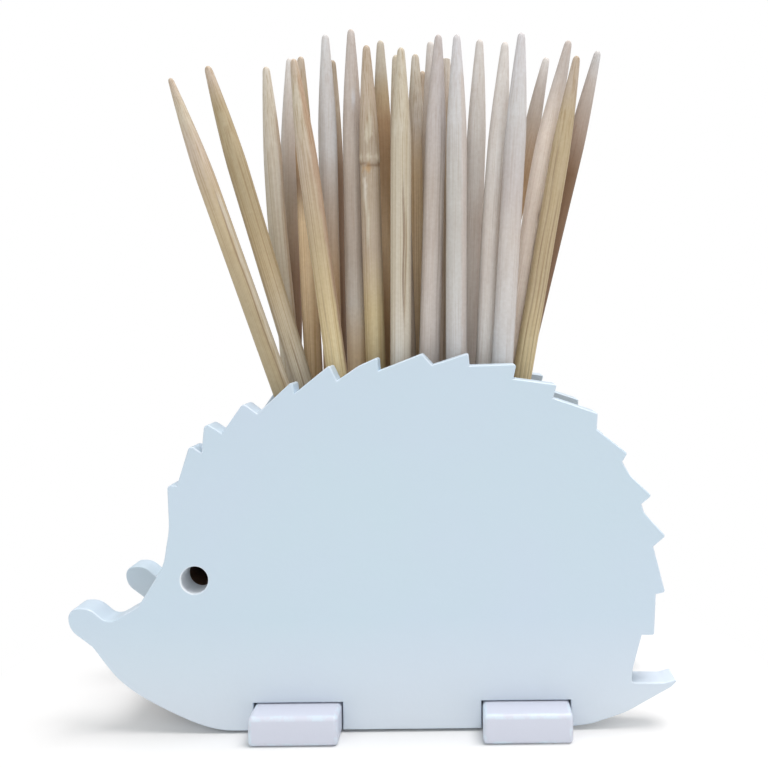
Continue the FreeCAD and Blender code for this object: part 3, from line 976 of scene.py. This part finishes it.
TONES = {
    "far_left": [(0.60, "olive"), (0.76, "straw"), (0.88, "tan"), (0.94, "cream"), (0.985, "tan")],
    "wide_left": [(0.50, "cream"), (0.66, "straw"), (0.80, "olive"), (0.93, "olive"), (0.98, "tan")],
    "fourth_left": [(0.70, "cream"), (0.85, "ivory")],
    "stout_left": [(0.52, "gold"), (0.68, "straw"), (0.82, "tan"), (0.94, "cream"), (0.98, "tan")],
    "fourth_brown": [(0.72, "honey"), (0.78, "bark"), (0.83, "brown"), (0.90, "straw"), (0.98, "tan")],
    "back_left": [(0.62, "bark"), (0.75, "dun"), (0.85, "shell"), (0.95, "white")],
    "second_left": [(0.60, "brown"), (0.74, "beige"), (0.82, "silver")],
    "fourth_narrow": [(0.80, "bark"), (0.90, "dun"), (0.93, "beige"), (0.98, "dun")],
    "upright_left": [(0.48, "honey"), (0.56, "ivory"), (0.64, "beige"), (0.76, "beige"), (0.86, "rosy"),
                     (0.93, "pinkish")],
    "knotted": [(0.56, "gold"), (0.67, "tan"), (0.84, "dun"), (0.92, "tan")],
    "fourth_middle": [(0.54, "brown"), (0.66, "honey"), (0.78, "brown"), (0.86, "brown"),
                      (0.92, "straw"), (0.95, "cream")],
    "split_middle": [(0.52, "ivory"), (0.66, "cream")],
    "back_middle": [(0.80, "brown"), (0.95, "tan")],
    "third_middle": [(0.85, "tan"), (0.96, "cream")],
    "second_middle": [(0.80, "honey"), (0.88, "shell"), (0.95, "ivory")],
    "third_pale": [(0.80, "tan"), (0.93, "pinkish"), (0.985, "white")],
    "front_middle": [(0.52, "pinkish"), (0.75, "rosy"), (0.86, "lavender")],
    "fourth_right": [(0.88, "tan"), (0.94, "peach"), (0.97, "shell")],
    "front_pale": [(0.50, "silver"), (0.64, "pale_grey"), (0.76, "pale_grey"), (0.88, "silver"),
                   (0.98, "bluish")],
    "third_right": [(0.70, "shell"), (0.78, "white")],
    "second_right": [(0.52, "white"), (0.70, "shell"), (0.80, "white")],
    "front_right": [(0.50, "silver"), (0.68, "pinkish"), (0.76, "lavender"), (0.87, "silver"),
                    (0.95, "bluish")],
    "back_right": [(0.80, "brown"), (0.90, "beige"), (0.96, "pinkish"), (0.985, "white")],
    "wide_right": [(0.84, "blush"), (0.95, "pinkish")],
    "yellow_right": [(0.50, "gold"), (0.62, "straw"), (0.90, "straw"), (0.95, "tan")],
    "far_right": [(0.80, "red_brown"), (0.86, "umber"), (0.94, "rosy"), (0.985, "silver")],
}


def tone_at(marks, share):
    """The colour between the two nearest marks, each a share of the length and a name."""
    before, colour = marks[0][0], Vector(PALETTE[marks[0][1]])
    for place, name in marks:
        if share <= place:
            step = 1.0 if place == before else (share - before) / (place - before)
            return colour.lerp(Vector(PALETTE[name]), min(max(step, 0.0), 1.0))
        before, colour = place, Vector(PALETTE[name])
    return colour


print("tones:", len(PALETTE), "for", len(TONES), "sticks")

# %% [markdown]
# Flaws are shared out as they fall on real sticks. Bamboo has a node here and
# there: a low ridge across the stick with flaky skin below it. A split is a narrow
# groove along the grain. A patch gives part of a stick another tone, such as a flake of
# pale skin that stands a little proud. The darker flanks on the right of four sticks are
# painted shade, on the side away from the light; on the stout stick the flank is partly
# its own darker wood as well. One stick has lost the end of its upper point, and some
# are bent to one side by a few tenths of a millimetre.

# %% Flaws
# Each split: its angle in degrees, where it starts and ends in mm from the foot, its depth.
SPLITS = {"split_middle": [(-70, 34.0, 50.0, 0.10), (-57, 36.0, 47.0, 0.06)],
          "far_left": [(-55, 4.0, 52.0, 0.07)],
          "yellow_right": [(-60, 6.0, 50.0, 0.06), (-110, 20.0, 56.0, 0.05), (-85, 14.0, 46.0, 0.04)],
          "wide_left": [(-80, 20.0, 36.0, 0.07)], "stout_left": [(-100, 22.0, 40.0, 0.04)],
          "fourth_right": [(-90, 30.0, 50.0, 0.05)], "front_middle": [(-50, 30.0, 58.0, 0.03)]}
# Each patch: angle at mid-height, half its width, start, end, twist per mm, lift in mm, tone.
# Painted shade: the stout stick's copper flank on the right is partly its own darker wood and partly painted
# shade.
PATCHES = {"stout_left": [(20, 80, 2.0, 61.0, -1.77, 0.0, "copper")],
           # Painted shade: a darker flank on the right, away from the light.
           "fourth_left": [(-10, 35, 20.0, 58.0, -0.4, 0.0, "tan")],
           "far_left": [(-30, 25, 4.0, 50.0, -0.5, 0.0, "cream")],
           # Painted shade: the darker flanks on the right of these two sticks, away from the light.
           "wide_right": [(-35, 30, 4.0, 48.0, 0.0, 0.0, "tan")],
           "front_pale": [(-35, 30, 4.0, 60.0, 0.0, 0.0, "pinkish")],
           "upright_left": [(-70, 16, 57.4, 59.0, 0.0, 0.02, "bluish")],
           "knotted": [(-120, 17, 47.2, 50.3, 0.6, 0.05, "ivory"),
                       (-112, 12, 43.0, 47.6, -1.1, 0.04, "cream"),
                       (-108, 34, 50.4, 51.4, 0.0, -0.03, "brown"),
                       (-90, 80, 51.75, 52.35, 0.0, 0.0, "cream"),
                       (-75, 12, 53.8, 56.8, 0.0, 0.03, "cream"),
                       (-101, 15, 53.4, 55.0, 0.0, 0.03, "cream")]}
KNOTS = {"knotted": 51.6}                # mm from the foot
SNAPPED = {"fourth_right": 1.5}          # millimetres of the upper point that are gone
# Each bend: mm to the right, the share of the length where it is widest, and how far it fades.
BENDS = {"wide_right": (-0.52, 0.79, 0.16), "back_right": (0.26, 0.79, 0.11),
         "back_left": (0.52, 0.54, 0.16), "fourth_brown": (0.16, 0.46, 0.10),
         "upright_left": (0.12, 0.46, 0.10), "fourth_left": (-0.15, 0.73, 0.10),
         "fourth_middle": (0.20, 0.82, 0.12), "second_right": (-0.26, 0.70, 0.16)}
NO_BEND = (0.0, 0.5, 1.0)
print("bent sticks:", sorted(BENDS))

# %% [markdown]
# ### Rings along a stick
#
# A stick is built from rings of points. Evenly spaced rings would need hundreds to keep
# a point crisp, so they stand closer only where the shape changes: at both points, and
# at a knot.

# %% Helper: where the rings are
NEAR_A_POINT = [0.04, 0.1, 0.2, 0.34, 0.6, 1.0, 1.6, 2.4, 3.4, 4.6, 6.0, 7.5, 9.0, 10.5, 12.0, 13.5]
MIDDLE_START, MIDDLE_END = 15.0 * MM, 14.2 * MM      # from the foot, and from the tip
RING_STEP = 1.1 * MM
KNOT_RINGS, KNOT_STEP = 14, 0.22                     # rings on each side, and mm between them


def ring_distances(length, knot):
    """Distances of the rings from the foot, in metres."""
    marks = {0.0, length}
    for step in NEAR_A_POINT:
        marks.add(step * MM)
        marks.add(length - step * MM)
    place = MIDDLE_START
    while place < length - MIDDLE_END:
        marks.add(place)
        place += RING_STEP
    if knot is not None:
        for step in range(-KNOT_RINGS, KNOT_RINGS + 1):
            marks.add((knot + step * KNOT_STEP) * MM)
    return sorted(marks)


print("rings on a plain stick:", len(ring_distances(65.0 * MM, None)))

# %% [markdown]
# ### Splits, the knot and patches
#
# These three change the radius or the tone at single points of a ring. They could be
# painted on, but then they would vanish at the edge of the stick, where the eye looks
# first. Each is a small function of the angle round the stick and the height along it.
# Sine waves of unlike length keep their edges from looking drawn with a ruler.

# %% Helpers: splits, the knot and patches
SPLIT_WIDTH = 0.11       # radians from the middle of a split to its edge
SPLIT_CLOSES = 3.0       # mm over which a split closes towards its ends


def split_depth(angle, height, splits, sides):
    """How deep the grain is split here, in metres."""
    deepest = 0.0
    half_width = max(SPLIT_WIDTH, 3.0 / sides)       # at least half a face on a coarse ring
    for degrees, start, end, depth in splits:
        off = (angle - math.radians(degrees) + math.pi) % (2 * math.pi) - math.pi
        off += 0.05 * math.sin(height / MM * 0.7 + degrees)
        if abs(off) < half_width and start < height / MM < end:
            fade = min(height / MM - start, end - height / MM) / SPLIT_CLOSES
            deepest = max(deepest, depth * MM * (1 - abs(off) / half_width) * min(fade, 1.0))
    return deepest


def knot_bulge(angle, height, knot):
    """The ridge of a bamboo node, in metres, and how dark its joint line is."""
    if knot is None:
        return 0.0, 0.0
    off = height / MM - knot - 0.12 * math.sin(2 * angle + 0.6)
    ridge = 0.045 * math.exp(-((off - 0.30) / 0.45) ** 2) - 0.05 * math.exp(-((off + 0.35) / 0.22) ** 2)
    flakes = 0.0
    if -4.5 < off < -0.5:
        flakes = 0.020 * math.sin(9 * angle + 3.1 * off) * math.sin(2.3 * off) - 0.01
    dark = 0.55 * math.exp(-((off + 0.32) / 0.16) ** 2)
    return (ridge + flakes) * MM, dark


MID_HEIGHT = 50.0        # mm from the foot, where a patch has the angle that is given
SOFT_EDGE = 14.0         # degrees over which a wide patch fades out sideways


def patch_cover(angle, height, patch):
    """How much a patch covers this point, from 0 to 1, with a ragged edge."""
    degrees, half_width, start, end, twist, _, _ = patch
    rise = height / MM
    degrees += twist * (rise - MID_HEIGHT) + 3.0 * math.sin(2.1 * rise) + 3.0 * math.sin(7.3 * rise + 1.0)
    off = abs((math.degrees(angle) - degrees + 180) % 360 - 180)
    soft_edge = min(SOFT_EDGE, 0.4 * half_width)
    sideways = min(max((half_width - off) / soft_edge, 0.0), 1.0)
    ragged = 0.25 * math.sin(7 * angle)
    lengthways = min(max((rise - start + ragged) / 0.4, 0.0), max((end - rise + ragged) / 0.4, 0.0), 1.0)
    return sideways * lengthways


# %% [markdown]
# ### Each stick's own habit
#
# A rod is never quite round or straight. Each stick draws its own numbers for that:
# how far it is flattened and which way, two sets of shallow hollows along the grain, and
# how it wanders from its axis. The draws are seeded by the stick's name, so the same
# stick comes out each time. The mean width stays that of the CAD rod.

# %% Helpers: a stick's habit
def own_habit(short):
    """The numbers by which a stick differs from a true rod."""
    dice = random.Random(short)
    return {"flatten": dice.uniform(0.006, 0.022),
            "flat_turn": dice.uniform(0, math.pi),
            "hollows": [(dice.randint(3, 7), dice.uniform(0, 6.28), dice.uniform(0.003, 0.008))
                        for _ in range(2)],
            "wander": dice.uniform(0.02, 0.05) * MM,
            "wander_turn": dice.uniform(0, 2 * math.pi),
            "grain_shift": Vector((dice.uniform(-40, 40), dice.uniform(-40, 40), dice.uniform(-90, 90)))}


def wave_at(angle, distance, habit):
    """The flattening and the hollows, as a factor near 1."""
    wave = 1 - habit["flatten"] * math.cos(2 * (angle - habit["flat_turn"]))
    for count, start, size in habit["hollows"]:
        wave -= size * math.sin(count * angle + start + distance / MM * 0.06)
    return wave


def tube_faces(rings, sides):
    """The faces of a tube that is closed at both ends."""
    faces = []
    for ring in range(rings - 1):
        for index in range(sides):
            after = (index + 1) % sides
            a, b = ring * sides, (ring + 1) * sides
            faces.append((a + index, a + after, b + after, b + index))
    top = (rings - 1) * sides
    return faces + [tuple(reversed(range(sides))), tuple(range(top, top + sides))]


# %% [markdown]
# ### Ring by ring
#
# Now everything comes together at each point of each ring: the radius of the rod or its
# taper, times the stick's own wave, less a split, plus the knot and the lift of a patch.
# The tone is mixed in the same loop, because a patch changes both. Sticks with a flaw
# get more points round, since a split is only a few degrees wide.

# %% Helper: build one stick
PLAIN_SIDES, FLAWED_SIDES = 26, 64
DARK_DEPTH = 0.05 * MM                   # a split this deep gets the shade below
SPLIT_SHADE = 0.55


def build_stick(node_name, material):
    short = node_name.replace("toothpick_", "")
    foot, along, length, full = stick_axis(node_name)
    across = Vector((0, 1, 0)).cross(along).normalized()
    side = along.cross(across)
    habit = own_habit(short)
    drift_x, drift_y = math.cos(habit["wander_turn"]), math.sin(habit["wander_turn"])
    splits, patches, knot = SPLITS.get(short, []), PATCHES.get(short, []), KNOTS.get(short)
    sides = FLAWED_SIDES if splits or patches or knot else PLAIN_SIDES
    dome = FINE_POINTS.get(short, WORN_POINT) * MM
    gone = SNAPPED.get(short, 0.0) * MM
    bend, bend_place, reach = BENDS.get(short, NO_BEND)
    points, places, dark, colours = [], [], [], []
    distances = ring_distances(length, knot)
    for distance in distances:
        base = radius_at(min(distance, length + gone - distance), full, dome)
        tone = tone_at(TONES[short], distance / length)
        drift = habit["wander"] * math.sin(math.pi * distance / length)
        bent = bend * MM * math.exp(-((distance / length - bend_place) / reach) ** 2)
        for index in range(sides):
            angle = 2 * math.pi * index / sides
            depth = split_depth(angle, distance, splits, sides) * min(base / full, 1.0)
            bulge, line = knot_bulge(angle, distance, knot)
            radius = base * wave_at(angle, distance, habit) - depth + bulge
            own = tone
            for patch in patches:
                cover = patch_cover(angle, distance, patch)
                own = own.lerp(Vector(PALETTE[patch[-1]]), cover)
                radius += cover * patch[-2] * MM
            x = radius * math.cos(angle) + drift * drift_x + bent
            y = radius * math.sin(angle) + drift * drift_y
            points.append(foot + across * x + side * y + along * distance)
            places.extend(Vector((x, y, distance)) / MM + habit["grain_shift"])
            dark.append(min(1.0, depth / DARK_DEPTH * SPLIT_SHADE + line))
            colours.extend((*own, 1.0))
    mesh = bpy.data.meshes.new(node_name)
    mesh.from_pydata(points, [], tube_faces(len(distances), sides))
    mesh.polygons.foreach_set("use_smooth", [True] * len(mesh.polygons))
    set_numbers(mesh, "stick_place", places, "FLOAT_VECTOR", "vector")
    set_numbers(mesh, "flaw", dark)
    set_numbers(mesh, "own_tone", colours, "FLOAT_COLOR", "color")
    piece = add_piece(f"{node_name}_wood", mesh, material, node_name)
    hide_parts(node_name)
    return piece


# %% [markdown]
# ### All the sticks
#
# The record says which sticks are birch and which are bamboo. Each one rides on the
# body of its own name, so it can be drawn out of the slot along its own axis.

# %% All the sticks
slot_of = {part["node"]: part["material_slot"] for part in frame["record"]["subparts"]}
sticks = []
for node_name in sorted(frame["nodes"]):
    if node_name.startswith("toothpick_"):
        slot = slot_of[node_name]
        sticks.append(build_stick(node_name, BIRCH if slot == "birch" else BAMBOO))
print("toothpicks:", len(sticks), "with", sum(len(s.data.polygons) for s in sticks), "faces")
